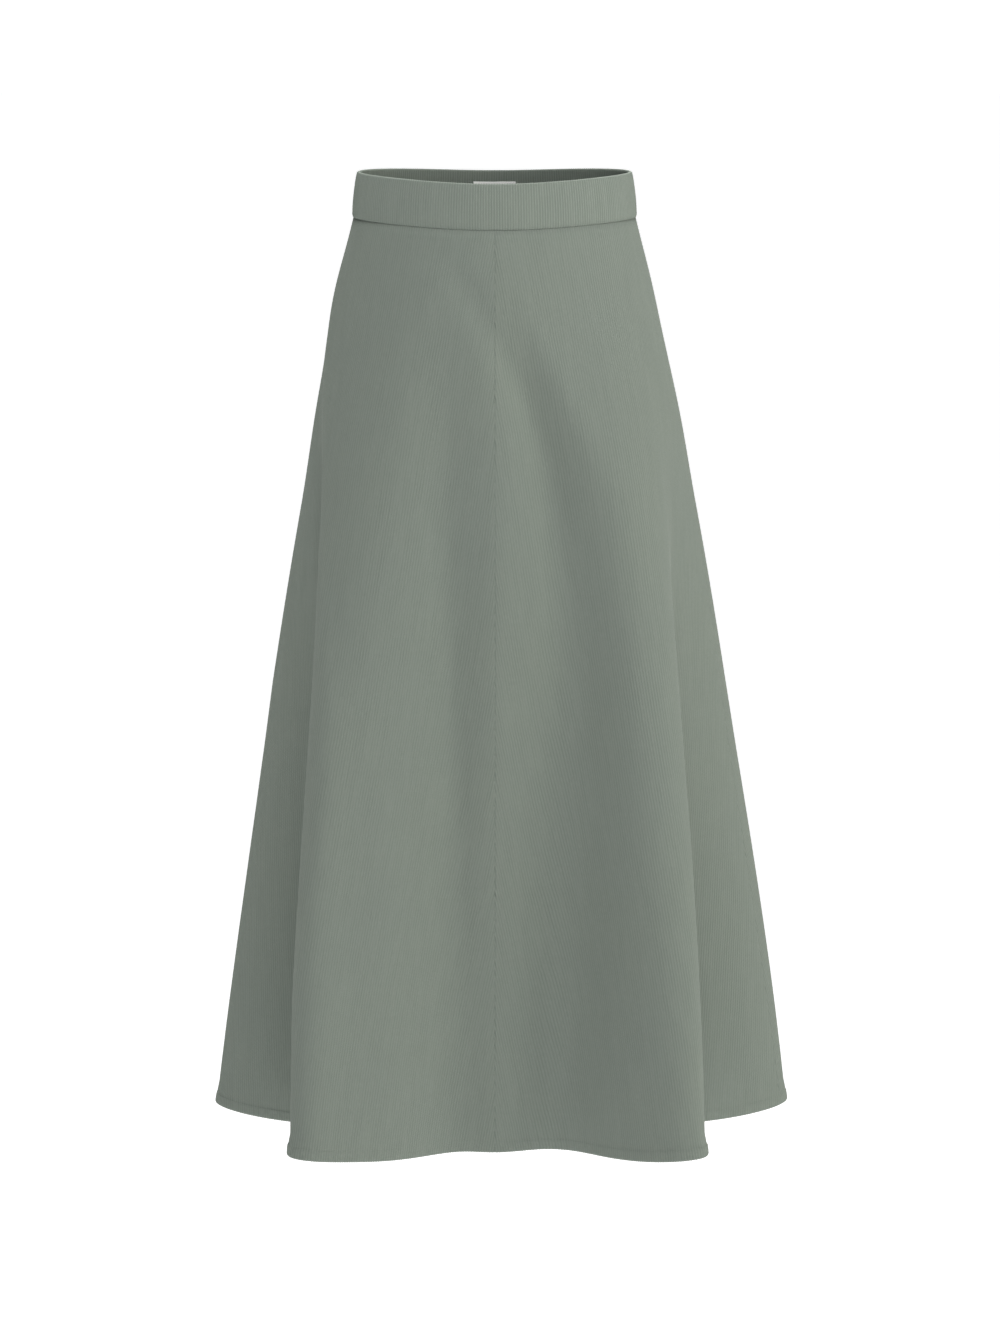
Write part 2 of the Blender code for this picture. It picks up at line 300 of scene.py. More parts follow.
def gore_face(number, levels, depths, steps, turns, across, heights):
    """Points of one gore: the hanging cloth at each level and distance across, drawn in to the
    seams, set under its outer side by the depth, and raised along the face by ribs and creases.
    Also how far each point lies across the gore, and how far from the seam."""
    ring = ring_lengths(levels)[:, None]
    half = ring / (2 * len(GORES))
    drawn_in = np.clip(across, -half, half)
    shares = (number + 0.5) / len(GORES) + drawn_in / ring
    points = cloth_points(levels, shares)
    down = unit(cloth_points(levels + LEVEL_STEP, shares) - cloth_points(levels - LEVEL_STEP, shares))
    along = cloth_points(levels, shares + SHARE_STEP) - cloth_points(levels, shares - SHARE_STEP)
    out = unit(np.cross(down, along))
    from_seam = half - np.abs(drawn_in)
    roll = np.clip(1 - from_seam / SEAM_ROLL[0], 0, 1)
    bend = PULL_BEND * np.sin(levels[:, None] * PULL_BEND_DOWN + across * PULL_BEND_ACROSS)
    pulled = 0.5 + 0.5 * np.sin(across * PULL_WAVE + bend)
    raised = RIB_DEPTH * (1 - RIB_UNEVEN * pulled) * np.clip(from_seam / RIB_FADE, 0, 1)
    relief = (heights - RIB_MEAN) * raised - SEAM_ROLL[1] * (1 - np.sqrt(1 - roll**2))
    turn = np.radians(turns)[:, None]
    azimuths = np.degrees(np.arctan2(points[..., 0], -points[..., 1]))
    shows = np.interp(azimuths, HEM_SHOWS[:, 0], HEM_SHOWS[:, 1])
    stands_out = steps[:, None] * HEM_PROUD * shows - depths[:, None]
    lift = crease_heights(levels, azimuths) + stands_out + relief * np.cos(turn)
    points = points + lift[..., None] * out + (relief * np.sin(turn))[..., None] * down
    return points, drawn_in, from_seam


WELD = 1e-6  # points nearer than this are one point


def grid_faces(rows, columns):
    """Quads between the rows and columns of a grid of points, which are numbered row by row."""
    index = np.arange(rows * columns).reshape(rows, columns)
    sides = np.stack([index[:-1, :-1], index[1:, :-1], index[1:, 1:], index[:-1, 1:]], axis=-1)
    return sides.reshape(-1, 4).tolist()


def comb_faces(fine, coarse, step, fine_first):
    """Faces between a row of points and one with every step-th of them: one for each gap there."""
    teeth = np.arange(0, len(fine) - 1, step)[:, None] + np.arange(step + 1)
    narrow = np.stack([coarse[:-1], coarse[1:]], axis=-1)
    if fine_first:
        around = np.hstack([fine[teeth[:, :1]], narrow, fine[teeth[:, :0:-1]]])
    else:
        around = np.hstack([narrow[:, :1], fine[teeth], narrow[:, 1:]])
    return around.tolist()


def weld(mesh):
    """Points that coincide become one, so that seams and poles are closed."""
    welded = bmesh.new()
    welded.from_mesh(mesh)
    bmesh.ops.remove_doubles(welded, verts=welded.verts, dist=WELD)
    welded.to_mesh(mesh)
    welded.free()


def new_piece(name, patches, materials, map_size):
    """A mesh joined from patches, each its points, its flat-pattern places, distances from the
    seam, where it lies on the bake map, its faces and its material's number. The maps are the bake
    map, the flat pattern, and distance from the seam and down."""
    points, cut, beside_seam, places, faces, slots = [], [], [], [], [], []
    count = 0
    for patch_points, patch_cut, from_seam, shift, patch_faces, slot in patches:
        points.append(patch_points.reshape(-1, 3))
        cut.append(patch_cut.reshape(-1, 2))
        beside_seam.append(np.column_stack([from_seam.ravel(), cut[-1][:, 1]]))
        places.append((cut[-1] + shift) / map_size)
        faces += (np.array(patch_faces) + count).tolist()
        slots += [slot] * len(patch_faces)
        count += len(points[-1])
    mesh = bpy.data.meshes.new(name)
    mesh.from_pydata(np.concatenate(points), [], faces)
    corners = np.zeros(len(mesh.loops), np.int32)
    mesh.loops.foreach_get("vertex_index", corners)
    for layer, values in (("OFBake", places), ("cut", cut), ("seam", beside_seam)):
        of_corners = np.concatenate(values)[corners].ravel()
        mesh.uv_layers.new(name=layer).data.foreach_set("uv", of_corners)
    mesh.polygons.foreach_set("material_index", slots)
    weld(mesh)
    mesh.shade_smooth()
    for material in materials:
        mesh.materials.append(material)
    piece = bpy.data.objects.new(name, mesh)
    bpy.context.scene.collection.objects.link(piece)
    return piece


def linear(colour):
    """An sRGB hex colour as linear red, green, blue and alpha, by the curve that sRGB gives."""
    channels = [int(colour[i : i + 2], 16) / 255 for i in (1, 3, 5)]
    return (*[((c + 0.055) / 1.055) ** 2.4 if c > 0.04045 else c / 12.92 for c in channels], 1)


def add_node(tree, kind, inputs=None, **settings):
    """Adds a node with its settings, each input linked to a socket or set to a value."""
    node = tree.nodes.new(kind)
    for name, value in settings.items():
        setattr(node, name, value)
    for socket, value in (inputs or {}).items():
        if isinstance(value, bpy.types.NodeSocket):
            tree.links.new(value, node.inputs[socket])
        else:
            node.inputs[socket].default_value = value
    return node


# A Mix node has a set of sockets for each kind of value. These are its places for colours.
MIX_SHARE = 0
MIX_FIRST = 6
MIX_SECOND = 7
MIX_RESULT = 2

# Cotton and viscose rib knit, soft and matt, with a dry hand: fibres stand off the yarn, so light
# that grazes it is scattered as a weak sheen. The valleys between the ribs are given painted shade.
# The yarn is spun from fibres of slightly different greens, so its ribs are never quite even.
SAGE = "#7F8780"
SAGE_WARM = "#828A80"
# The next three are painted: shade in the rib valleys, shade along the seams, and a highlight along a
# fold.
PAINTED_VALLEY_SHADE = "#727B73"
SEAM_SHADE = "#5F6862"
PAINTED_FOLD_HIGHLIGHT = "#A3ADA2"
FIBRE_SHEEN = "#D9E0D6"
STITCH_HEIGHT = 0.0014  # one course of knitting
STITCH_DEPTH = 0.00008
STITCH_SLANT = -1.1  # the two legs of a knit stitch lean apart by this slope
RIB_BUMP = 0.0005  # height of the ribs on the inside, where the mesh has none
VALLEY_SHARE = 0.3  # share of a rib, at each of its sides, that is valley
SEAM_LINE = 0.0008  # half width of the shaded line of a seam
FOLD_HIGHLIGHT_WIDTH = 0.0024  # half width of the painted highlight along a fold
SEAM_TACKS = 0.012  # the knit puckers into the seam about this often
SEAM_TACK_LENGTH = 0.28  # as a share of that
SEAM_TACK_SHADE = (0.65, 0.06)  # how strong the seam's painted shade is in a pucker and between two
# How large the patches of streaks, fibres and uneven dye are, across the ribs and along them. The
# fibres are drawn much coarser than real ones, so that they show.
STREAK_SIZE = (0.00476, 0.0455)
FIBRE_SIZE = (0.00111, 0.00385)
CLOUD_SIZE = (0.111, 0.167)
STREAK_RANGE = (0.35, 0.65)  # the noise that opens the ribs most and least
STREAK_OPENING = (1.0, 0.25)  # how far they are open there
FIBRE_RANGE = (0.3, 0.7)  # the noise of the darkest and the lightest fibres
FIBRE_LIGHTNESS = (0.95, 1.04)


def rib_profile(tree, across, down):
    """How high a rib is: 0 in its valleys, and a smooth step up to 1. And the wave of its stitches:
    a sine down the rib, whose two legs lean apart."""
    from_valley = add_node(
        tree, "ShaderNodeMath", {0: across, 1: RIB_PITCH / 2}, operation="PINGPONG"
    ).outputs[0]
    rib = add_node(
        tree,
        "ShaderNodeMapRange",
        {"Value": from_valley, "From Min": 0.0, "From Max": RIB_PITCH * VALLEY_SHARE},
        interpolation_type="SMOOTHSTEP",
    ).outputs[0]
    slant = add_node(
        tree,
        "ShaderNodeMath",
        {0: from_valley, 1: STITCH_SLANT, 2: down},
        operation="MULTIPLY_ADD",
    ).outputs[0]
    course = add_node(
        tree, "ShaderNodeMath", {0: slant, 1: 2 * math.pi / STITCH_HEIGHT}, operation="MULTIPLY"
    ).outputs[0]
    stitch = add_node(tree, "ShaderNodeMath", {0: course}, operation="SINE").outputs[0]
    return rib, stitch


def yarn_colour(tree, cut, rib, paler):
    """The knit's colour away from its seams, with painted shade in the valleys between the ribs, and
    how far its ribs are open, which they are in streaks two ribs wide and a few centimetres long.
    Less valley shade is painted where they are less open."""
    unevenness = []
    for size, detail in ((STREAK_SIZE, 2.0), (FIBRE_SIZE, 2.0), (CLOUD_SIZE, 3.0)):
        scale = (1 / size[0], 1 / size[1], 1.0)
        patch = add_node(tree, "ShaderNodeMapping", {"Vector": cut, "Scale": scale}).outputs[0]
        noise = add_node(
            tree, "ShaderNodeTexNoise", {"Vector": patch, "Scale": 1.0, "Detail": detail}
        ).outputs["Fac"]
        unevenness.append(noise)
    streaks, fibres, clouds = unevenness
    opening = add_node(
        tree,
        "ShaderNodeMapRange",
        {
            "Value": streaks,
            "From Min": STREAK_RANGE[0],
            "From Max": STREAK_RANGE[1],
            "To Min": STREAK_OPENING[0],
            "To Max": STREAK_OPENING[1],
        },
    ).outputs[0]
    closed = add_node(
        tree, "ShaderNodeMath", {0: 1.0, 1: opening}, operation="SUBTRACT"
    ).outputs[0]
    face = add_node(tree, "ShaderNodeMath", {0: rib, 1: closed}, operation="MAXIMUM").outputs[0]
    cloth = add_node(
        tree,
        "ShaderNodeMix",
        {MIX_SHARE: clouds, MIX_FIRST: linear(SAGE), MIX_SECOND: linear(SAGE_WARM)},
        data_type="RGBA",
    ).outputs[MIX_RESULT]
    heather = add_node(
        tree,
        "ShaderNodeMapRange",
        {
            "Value": fibres,
            "From Min": FIBRE_RANGE[0],
            "From Max": FIBRE_RANGE[1],
            "To Min": FIBRE_LIGHTNESS[0] * paler,
            "To Max": FIBRE_LIGHTNESS[1] * paler,
        },
    ).outputs[0]
    spun = add_node(
        tree,
        "ShaderNodeMix",
        {MIX_SHARE: 1.0, MIX_FIRST: cloth, MIX_SECOND: heather},
        data_type="RGBA",
        blend_type="MULTIPLY",
    ).outputs[MIX_RESULT]
    # Painted shade: the valleys between the ribs are darkened.
    valley_shaded = add_node(
        tree,
        "ShaderNodeMix",
        {MIX_SHARE: face, MIX_FIRST: linear(PAINTED_VALLEY_SHADE), MIX_SECOND: spun},
        data_type="RGBA",
    ).outputs[MIX_RESULT]
    return valley_shaded, opening


def seam_shading(tree, down, opening):
    """How strong the painted shade along a seam is: a soft line, strongest in the small puckers where
    its stitches pull.
    """
    seam = add_node(tree, "ShaderNodeUVMap", uv_map="seam").outputs["UV"]
    beside = add_node(tree, "ShaderNodeSeparateXYZ", {"Vector": seam}).outputs["X"]
    line = add_node(
        tree,
        "ShaderNodeMapRange",
        {"Value": beside, "From Min": 0.0, "From Max": SEAM_LINE, "To Min": 1.0, "To Max": 0.0},
        interpolation_type="SMOOTHSTEP",
    ).outputs[0]
    from_tack = add_node(
        tree, "ShaderNodeMath", {0: down, 1: SEAM_TACKS / 2}, operation="PINGPONG"
    ).outputs[0]
    tack = add_node(
        tree,
        "ShaderNodeMapRange",
        {
            "Value": from_tack,
            "From Min": 0.0,
            "From Max": SEAM_TACKS * SEAM_TACK_LENGTH / 2,
            "To Min": SEAM_TACK_SHADE[0],
            "To Max": SEAM_TACK_SHADE[1],
        },
        interpolation_type="SMOOTHSTEP",
    ).outputs[0]
    uneven_tack = add_node(
        tree, "ShaderNodeMath", {0: tack, 1: opening}, operation="MULTIPLY"
    ).outputs[0]
    return add_node(
        tree, "ShaderNodeMath", {0: line, 1: uneven_tack}, operation="MULTIPLY"
    ).outputs[0]


def painted_fold_highlight(tree, down, fold_at):
    """How strong the painted highlight along a fold is: 1 on its line, and a smooth step down to 0 on
    both sides of it.
    """
    past_fold = add_node(
        tree, "ShaderNodeMath", {0: down, 1: fold_at}, operation="SUBTRACT"
    ).outputs[0]
    off_fold = add_node(tree, "ShaderNodeMath", {0: past_fold}, operation="ABSOLUTE").outputs[0]
    return add_node(
        tree,
        "ShaderNodeMapRange",
        {"Value": off_fold, "From Min": 0.0, "From Max": FOLD_HIGHLIGHT_WIDTH, "To Min": 1.0, "To Max": 0.0},
        interpolation_type="SMOOTHSTEP",
    ).outputs[0]


def rib_knit(name, ribs_in_bump, paler=1.0, fold_at=None):
    """The knit, on the flat pattern's places. The inside has its ribs as bump. A stretched piece is
    paler, and has a painted highlight along a fold, which lies at a place down the pattern."""
    material = bpy.data.materials.new(name)
    material.use_nodes = True
    tree = material.node_tree
    shader = tree.nodes["Principled BSDF"]
    cut = add_node(tree, "ShaderNodeUVMap", uv_map="cut").outputs["UV"]
    place = add_node(tree, "ShaderNodeSeparateXYZ", {"Vector": cut})
    across, down = place.outputs["X"], place.outputs["Y"]
    rib, stitch = rib_profile(tree, across, down)
    valley_shaded, opening = yarn_colour(tree, cut, rib, paler)
    shaded = seam_shading(tree, down, opening)
    # Painted shade along the seams and in their puckers.
    colour = add_node(
        tree,
        "ShaderNodeMix",
        {MIX_SHARE: shaded, MIX_FIRST: valley_shaded, MIX_SECOND: linear(SEAM_SHADE)},
        data_type="RGBA",
    ).outputs[MIX_RESULT]
    # Painted highlight along the fold over the rim.
    if fold_at is not None:
        folded = painted_fold_highlight(tree, down, fold_at)
        colour = add_node(
            tree,
            "ShaderNodeMix",
            {MIX_SHARE: folded, MIX_FIRST: colour, MIX_SECOND: linear(PAINTED_FOLD_HIGHLIGHT)},
            data_type="RGBA",
        ).outputs[MIX_RESULT]
    tree.links.new(colour, shader.inputs["Base Color"])

    height = add_node(
        tree, "ShaderNodeMath", {0: stitch, 1: STITCH_DEPTH}, operation="MULTIPLY"
    ).outputs[0]
    if ribs_in_bump:
        height = add_node(
            tree, "ShaderNodeMath", {0: rib, 1: RIB_BUMP, 2: height}, operation="MULTIPLY_ADD"
        ).outputs[0]
    bump = add_node(
        tree, "ShaderNodeBump", {"Strength": 1.0, "Distance": 1.0, "Height": height}
    ).outputs[0]
    tree.links.new(bump, shader.inputs["Normal"])
    shader.inputs["Roughness"].default_value = 0.88
    shader.inputs["Specular IOR Level"].default_value = 0.25
    shader.inputs["Sheen Weight"].default_value = 0.12
    shader.inputs["Sheen Roughness"].default_value = 0.5
    shader.inputs["Sheen Tint"].default_value = linear(FIBRE_SHEEN)
    return material


RIB_OUTSIDE = rib_knit("sage rib knit", False)
RIB_INSIDE = rib_knit("sage rib knit inside", True)
MAP_SIZE = 1.06  # metres of cloth across a bake map, which holds a gore's two faces side by side
MAP_MARGIN = 0.01
HEM_ABOVE = 0.002  # the evenly spaced rows end this far above the hem's section


def make_gore(name, number):
    """A gore's wall: its outer face with the hem folded up inside, its coarser inner face, and the
    edges between these two, so the mesh is closed."""
    hem_heights, hem_depths, hem_steps, hem_turns = hem_section()
    plain = np.linspace(0, 1 - (hem_heights[0] + HEM_ABOVE) / CLOTH_LENGTH, GORE_ROWS)
    no_hem = np.zeros(GORE_ROWS)
    levels = np.concatenate([plain, 1 - hem_heights / CLOTH_LENGTH])
    depths = np.concatenate([no_hem, hem_depths])
    steps = np.concatenate([no_hem, hem_steps])
    turns = np.concatenate([no_hem, hem_turns])
    across, heights = gore_columns(ring_lengths(np.array([1.0]))[0] / (2 * len(GORES)))
    outer, outer_across, outer_from_seam = gore_face(
        number, levels, depths, steps, turns, across, heights
    )
    path = np.cumsum(np.hypot(np.diff(levels, prepend=0) * CLOTH_LENGTH, np.diff(depths, prepend=0)))
    outer_cut = np.stack(np.broadcast_arrays(outer_across, path[:, None]), axis=-1)

    step = len(RIB_SECTION)
    inner_levels = plain[::-1]
    under = no_hem + CLOTH_THICKNESS
    smooth = np.full(len(across[::step]), RIB_MEAN)
    inner, inner_across, inner_from_seam = gore_face(
        number, inner_levels, under, no_hem, no_hem, across[::step], smooth
    )
    inner_path = inner_levels[:, None] * CLOTH_LENGTH
    inner_cut = np.stack(np.broadcast_arrays(inner_across, inner_path), axis=-1)

    beside = np.array([MAP_SIZE / 4, MAP_MARGIN])
    opposite = np.array([MAP_SIZE * 3 / 4, MAP_MARGIN])
    columns, inner_columns = len(across), len(across[::step])
    fine, coarse = np.arange(columns), np.arange(inner_columns) + columns
    faces = grid_faces(len(levels), columns)
    inner_faces = grid_faces(GORE_ROWS, inner_columns)
    patches = [
        (outer, outer_cut, outer_from_seam, beside, faces, 0),
        (inner, inner_cut, inner_from_seam, opposite, inner_faces, 1),
    ]
    # The raw edge of the hem and the edge at the waist join the two faces.
    for row, inner_row, drop in ((-1, 0, CLOTH_THICKNESS), (0, -1, -CLOTH_THICKNESS)):
        points = np.vstack([outer[row], inner[inner_row]])
        strip = np.vstack([outer_cut[row], outer_cut[row, ::step] + (0, drop)])
        from_seam = np.append(outer_from_seam[row], outer_from_seam[row, ::step])
        faces = comb_faces(fine, coarse, step, row == -1)
        patches.append((points, strip, from_seam, beside, faces, 0))
    # So do the edges at the two seams: a strip down to the hem, and one face across the hem's end.
    for side, turned, aside in ((0, -1, -CLOTH_THICKNESS), (-1, 1, CLOTH_THICKNESS)):
        edge = np.stack([outer[:GORE_ROWS, side], inner[::-1, side]], axis=1)
        strip = np.stack([outer_cut[:GORE_ROWS, side]] * 2, axis=1)
        strip[:, 1, 0] += aside
        faces = np.array(grid_faces(GORE_ROWS, 2))[:, ::turned]
        patches.append((edge, strip, np.zeros(edge.shape[:2]), beside, faces, 0))
        hem_edge = np.vstack([outer[GORE_ROWS - 1 :, side], inner[:1, side]])
        strip = np.vstack([outer_cut[GORE_ROWS - 1 :, side], outer_cut[GORE_ROWS - 1, side]])
        strip[-1, 0] += aside
        hem_face = np.arange(len(hem_edge))[None, ::turned]
        patches.append((hem_edge, strip, np.zeros(len(hem_edge)), beside, hem_face, 0))
    gore = new_piece(name + "_gore", patches, (RIB_OUTSIDE, RIB_INSIDE), MAP_SIZE)
    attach(gore, "root")
    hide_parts(name)


for number, name in enumerate(GORES):
    make_gore(name, number)

# ---- The waistband -------------------------------------------------------------------------
# One strip of the same rib knit, folded lengthwise over the rim, so two layers, joined to a ring
# and sewn to the gores. Its ribs stand upright, and its lower edge rolls in to the seam.

BAND_THICKNESS = 0.0036
BAND_RIM = (0.1275, 0.0940)  # half width and half depth of the outer face
BAND_FOOT = (0.1325, 0.0978)
BAND_ROLL = (0.0055, 0.0020)  # height and depth of the rounded lower edge
BAND_PUFF = 0.0007  # the outer layer swells by this much between rim and seam
BAND_PUFF_POWER = 0.7  # below 1 it swells early and stays even
BAND_RIBS = 292
BAND_PALER = 1.06  # the band is stretched, so its ribs open and it looks this much paler
RIM_SHARE = 0.66  # the fold's line, which carries the painted highlight, is this share of the way over the rim, from inside
BAND_INNER_ROWS = 7
BAND_OUTER_ROWS = 9
BAND_TURN_STEP = 15  # degrees between two rows round the rim and the lower edge
BAND_AZIMUTH_STEP = 0.2  # degrees over which the way outwards is taken
BAND_MAP_SIZE = 0.73
BAND_MARGIN = 0.003


def band_points(heights, inward, azimuths):
    """Points of the band: an ellipse that narrows from foot to rim, less the distance inward."""
    share = (heights / BAND_HEIGHT)[:, None]
    half_width = BAND_FOOT[0] + (BAND_RIM[0] - BAND_FOOT[0]) * share - inward
    half_depth = BAND_FOOT[1] + (BAND_RIM[1] - BAND_FOOT[1]) * share - inward
    radii = ellipse_radii(azimuths, half_width, half_depth)
    x = radii * np.sin(np.radians(azimuths))
    y = -radii * np.cos(np.radians(azimuths))
    z = heights[:, None] - BAND_HEIGHT / 2 + waist_lift(azimuths)
    return np.stack([x, y, z], axis=-1)


def band_azimuths(shares):
    """Azimuths at equal lengths round the band's foot from its join at the centre back."""
    dense = np.linspace(180, 540, TABLE_AROUND + 1)
    ring = band_points(np.zeros(1), 0, dense)[0]
    lengths = np.append(0, np.cumsum(np.linalg.norm(np.diff(ring, axis=0), axis=1)))
    return np.interp(shares * lengths[-1], lengths, dense)


def band_section():
    """Heights over the foot and distances inward: up the inner face, half a circle over the rim,
    down the outer face, which swells, and a quarter of an ellipse in to the seam."""
    rim_radius = BAND_THICKNESS / 2
    straight = BAND_HEIGHT - rim_radius
    inner = np.linspace(0, straight, BAND_INNER_ROWS)
    over = np.radians(np.arange(BAND_TURN_STEP, 180, BAND_TURN_STEP))
    outer = np.linspace(straight, BAND_ROLL[0], BAND_OUTER_ROWS)
    under = np.radians(np.arange(90 - BAND_TURN_STEP, -1, -BAND_TURN_STEP))
    swell = np.sin(np.linspace(0, np.pi, BAND_OUTER_ROWS)) ** BAND_PUFF_POWER
    heights = [inner, straight + rim_radius * np.sin(over), outer, BAND_ROLL[0] * (1 - np.cos(under))]
    inward = [
        np.full(len(inner), BAND_THICKNESS),
        rim_radius * (1 + np.cos(over)),
        -BAND_PUFF * swell,
        BAND_ROLL[1] * (1 - np.sin(under)),
    ]
    return np.concatenate(heights), np.concatenate(inward)


def make_waistband():
    """A closed ring: the band's section carried round its ellipse and raised outwards by ribs."""
    heights, inward = band_section()
    ribs = np.arange(BAND_RIBS)[:, None] + RIB_SECTION[:, 0]
    shares = np.append(ribs.ravel(), BAND_RIBS) / BAND_RIBS
    rib_heights = np.append(np.tile(RIB_SECTION[:, 1], BAND_RIBS), RIB_SECTION[0, 1])
    azimuths = band_azimuths(shares)
    points = band_points(heights, inward[:, None], azimuths)
    up = unit(np.gradient(points, axis=0))
    after = band_points(heights, inward[:, None], azimuths + BAND_AZIMUTH_STEP)
    before = band_points(heights, inward[:, None], azimuths - BAND_AZIMUTH_STEP)
    out = unit(np.cross(after - before, up))
    around = shares * BAND_RIBS * RIB_PITCH
    from_join = np.minimum(around, around[-1] - around)
    relief = (rib_heights - RIB_MEAN) * RIB_DEPTH
    relief = relief - SEAM_ROLL[1] * np.clip(1 - from_join / SEAM_ROLL[0], 0, 1) ** 2
    points = points + relief[:, None] * out
    points = np.concatenate([points, points[:1]])
    path = np.append(0, np.cumsum(np.linalg.norm(np.diff(points[:, 0], axis=0), axis=1)))
    cut = np.stack(np.broadcast_arrays(around, path[:, None]), axis=-1)
    from_join = np.broadcast_to(from_join, cut.shape[:2])
    faces = grid_faces(*points.shape[:2])
    patches = [(points, cut, from_join, np.array([BAND_MARGIN, BAND_MARGIN]), faces, 0)]
    # The painted highlight lies along the fold over the rim.
    rim = BAND_HEIGHT - BAND_THICKNESS / 2 + BAND_THICKNESS / 2 * math.pi * RIM_SHARE
    knit = rib_knit("sage rib knit stretched", False, BAND_PALER, rim)
    band = new_piece("folded_waistband", patches, (knit,), BAND_MAP_SIZE)
    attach(band, "root")
    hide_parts("waistband")


make_waistband()

# ---- The label -----------------------------------------------------------------------------
# A short strip of white woven tape, left bare. Its two ends are turned under and sewn inside the
# centre back of the band, with stitches too small to show here, and its lower edge hangs free.

LABEL_WIDTH = 0.042
LABEL_HEIGHT = 0.020
LABEL_THICKNESS = 0.0006
LABEL_BELOW_RIM = 0.011
LABEL_GAP = 0.0002  # clear of the band's ribs
LABEL_TUCK = 0.005  # the ends are turned under this far, and doubled there
LABEL_TUCK_THICK = 0.0004
LABEL_TUCK_STEP = 0.001  # width of the step up to the doubled tape
LABEL_BOW = 0.0006  # the lower edge bows off the band between the ends
LABEL_COLUMNS = 57
LABEL_ROWS = 9
LABEL_EDGE = 0.03  # share of the height, above and below, where the tape's edge is rounded
# The points of a rounded edge: share of the height and share of the thickness.
LABEL_ROUND = np.array([(0.995, 0.85), (1.0, 0.5), (0.995, 0.15)])
TAPE_WHITE = "#FCFCFA"
TAPE_SHADE = "#F2F2EF"
THREAD_PITCH = 0.0004  # from one thread of the tape to the next
THREAD_BUMP = 0.00004
LABEL_MAP_SIZE = 0.050
LABEL_MARGIN = 0.002


def woven_tape():
    """Bleached polyester tape in a plain weave, whose smooth yarn is a little glossier than the
    knit: over and under threads as two crossing sine waves."""
    material = bpy.data.materials.new("white woven tape")
    material.use_nodes = True
    tree = material.node_tree
    shader = tree.nodes["Principled BSDF"]
    cut = add_node(tree, "ShaderNodeUVMap", uv_map="cut").outputs["UV"]
    place = add_node(tree, "ShaderNodeSeparateXYZ", {"Vector": cut})
    waves = []
    for axis in ("X", "Y"):
        turned = add_node(
            tree,
            "ShaderNodeMath",
            {0: place.outputs[axis], 1: math.pi / THREAD_PITCH},
            operation="MULTIPLY",
        ).outputs[0]
        waves.append(add_node(tree, "ShaderNodeMath", {0: turned}, operation="SINE").outputs[0])
    weave = add_node(
        tree, "ShaderNodeMath", {0: waves[0], 1: waves[1]}, operation="MULTIPLY"
    ).outputs[0]
    shade = add_node(
        tree, "ShaderNodeMapRange", {"Value": weave, "From Min": -1.0, "From Max": 1.0}
    ).outputs[0]
    colour = add_node(
        tree,
        "ShaderNodeMix",
        {MIX_SHARE: shade, MIX_FIRST: linear(TAPE_SHADE), MIX_SECOND: linear(TAPE_WHITE)},
        data_type="RGBA",
    ).outputs[MIX_RESULT]
    height = add_node(
        tree, "ShaderNodeMath", {0: weave, 1: THREAD_BUMP}, operation="MULTIPLY"
    ).outputs[0]
    bump = add_node(
        tree, "ShaderNodeBump", {"Strength": 1.0, "Distance": 1.0, "Height": height}
    ).outputs[0]
    tree.links.new(colour, shader.inputs["Base Color"])
    tree.links.new(bump, shader.inputs["Normal"])
    shader.inputs["Roughness"].default_value = 0.55
    shader.inputs["Specular IOR Level"].default_value = 0.35
    return material


def label_azimuths(across):
    """Azimuths of places across the label, counted from the centre back."""
    return 180 + np.degrees(np.arctan(across / (BAND_FOOT[1] - BAND_THICKNESS)))


def label_thickness(across):
    """The tape's thickness, more where its ends are turned under: a smooth step."""
    run = np.clip((np.abs(across) - LABEL_WIDTH / 2 + LABEL_TUCK) / LABEL_TUCK_STEP, 0, 1)
    return LABEL_THICKNESS + LABEL_TUCK_THICK * run**2 * (3 - 2 * run)


def label_back(across, below_top):
    """Distance of the label's back inward: on the band, and bowed off it at the free edge by half
    a wave across, which grows with the square of the way down."""
    between = np.cos(np.pi * across / LABEL_WIDTH)
    bow = LABEL_BOW * between * (below_top / LABEL_HEIGHT) ** 2
    return BAND_THICKNESS + LABEL_GAP + bow


def make_label(material):
    """A closed flat tube: down the front, round the lower edge, up the back, round the upper."""
    down = np.linspace(LABEL_EDGE, 1 - LABEL_EDGE, LABEL_ROWS)
    edge, edge_front = LABEL_ROUND.T
    below = np.concatenate([down, edge, down[::-1], 1 - edge])
    front = np.concatenate([np.ones(LABEL_ROWS), edge_front, np.zeros(LABEL_ROWS), edge_front[::-1]])
    below = np.append(below, below[0]) * LABEL_HEIGHT
    front = np.append(front, front[0])
    across = np.linspace(-LABEL_WIDTH / 2, LABEL_WIDTH / 2, LABEL_COLUMNS)
    inward = label_back(across, below[:, None]) + label_thickness(across) * front[:, None]
    heights = BAND_HEIGHT - LABEL_BELOW_RIM - below
    points = band_points(heights, inward, label_azimuths(across))
    path = np.append(0, np.cumsum(np.hypot(np.diff(below), np.diff(front) * LABEL_THICKNESS)))
    cut = np.stack(np.broadcast_arrays(across + LABEL_WIDTH / 2, path[:, None]), axis=-1)
    margin = np.array([LABEL_MARGIN, LABEL_MARGIN])
    clear = np.ones(cut.shape[:2])
    faces = np.array(grid_faces(*points.shape[:2]))[:, ::-1]
    patches = [(points, cut, clear, margin, faces, 0)]
    for side, turned in ((0, 1), (-1, -1)):
        ring = np.arange(len(points) - 1)[None, ::turned]
        patches.append((points[:-1, side], cut[:-1, side], clear[:-1, side], margin, ring, 0))
    label = new_piece("bare_label", patches, (material,), LABEL_MAP_SIZE)
    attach(label, "root")
    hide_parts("label")


make_label(woven_tape())

# ---- The studio ----------------------------------------------------------------------------
# A white floor well below the hem, a white backdrop that rises far off, a pale room, soft square
# lights high in front, low on the picture's right and behind, and a camera at the photograph's
# angle, distance and height.

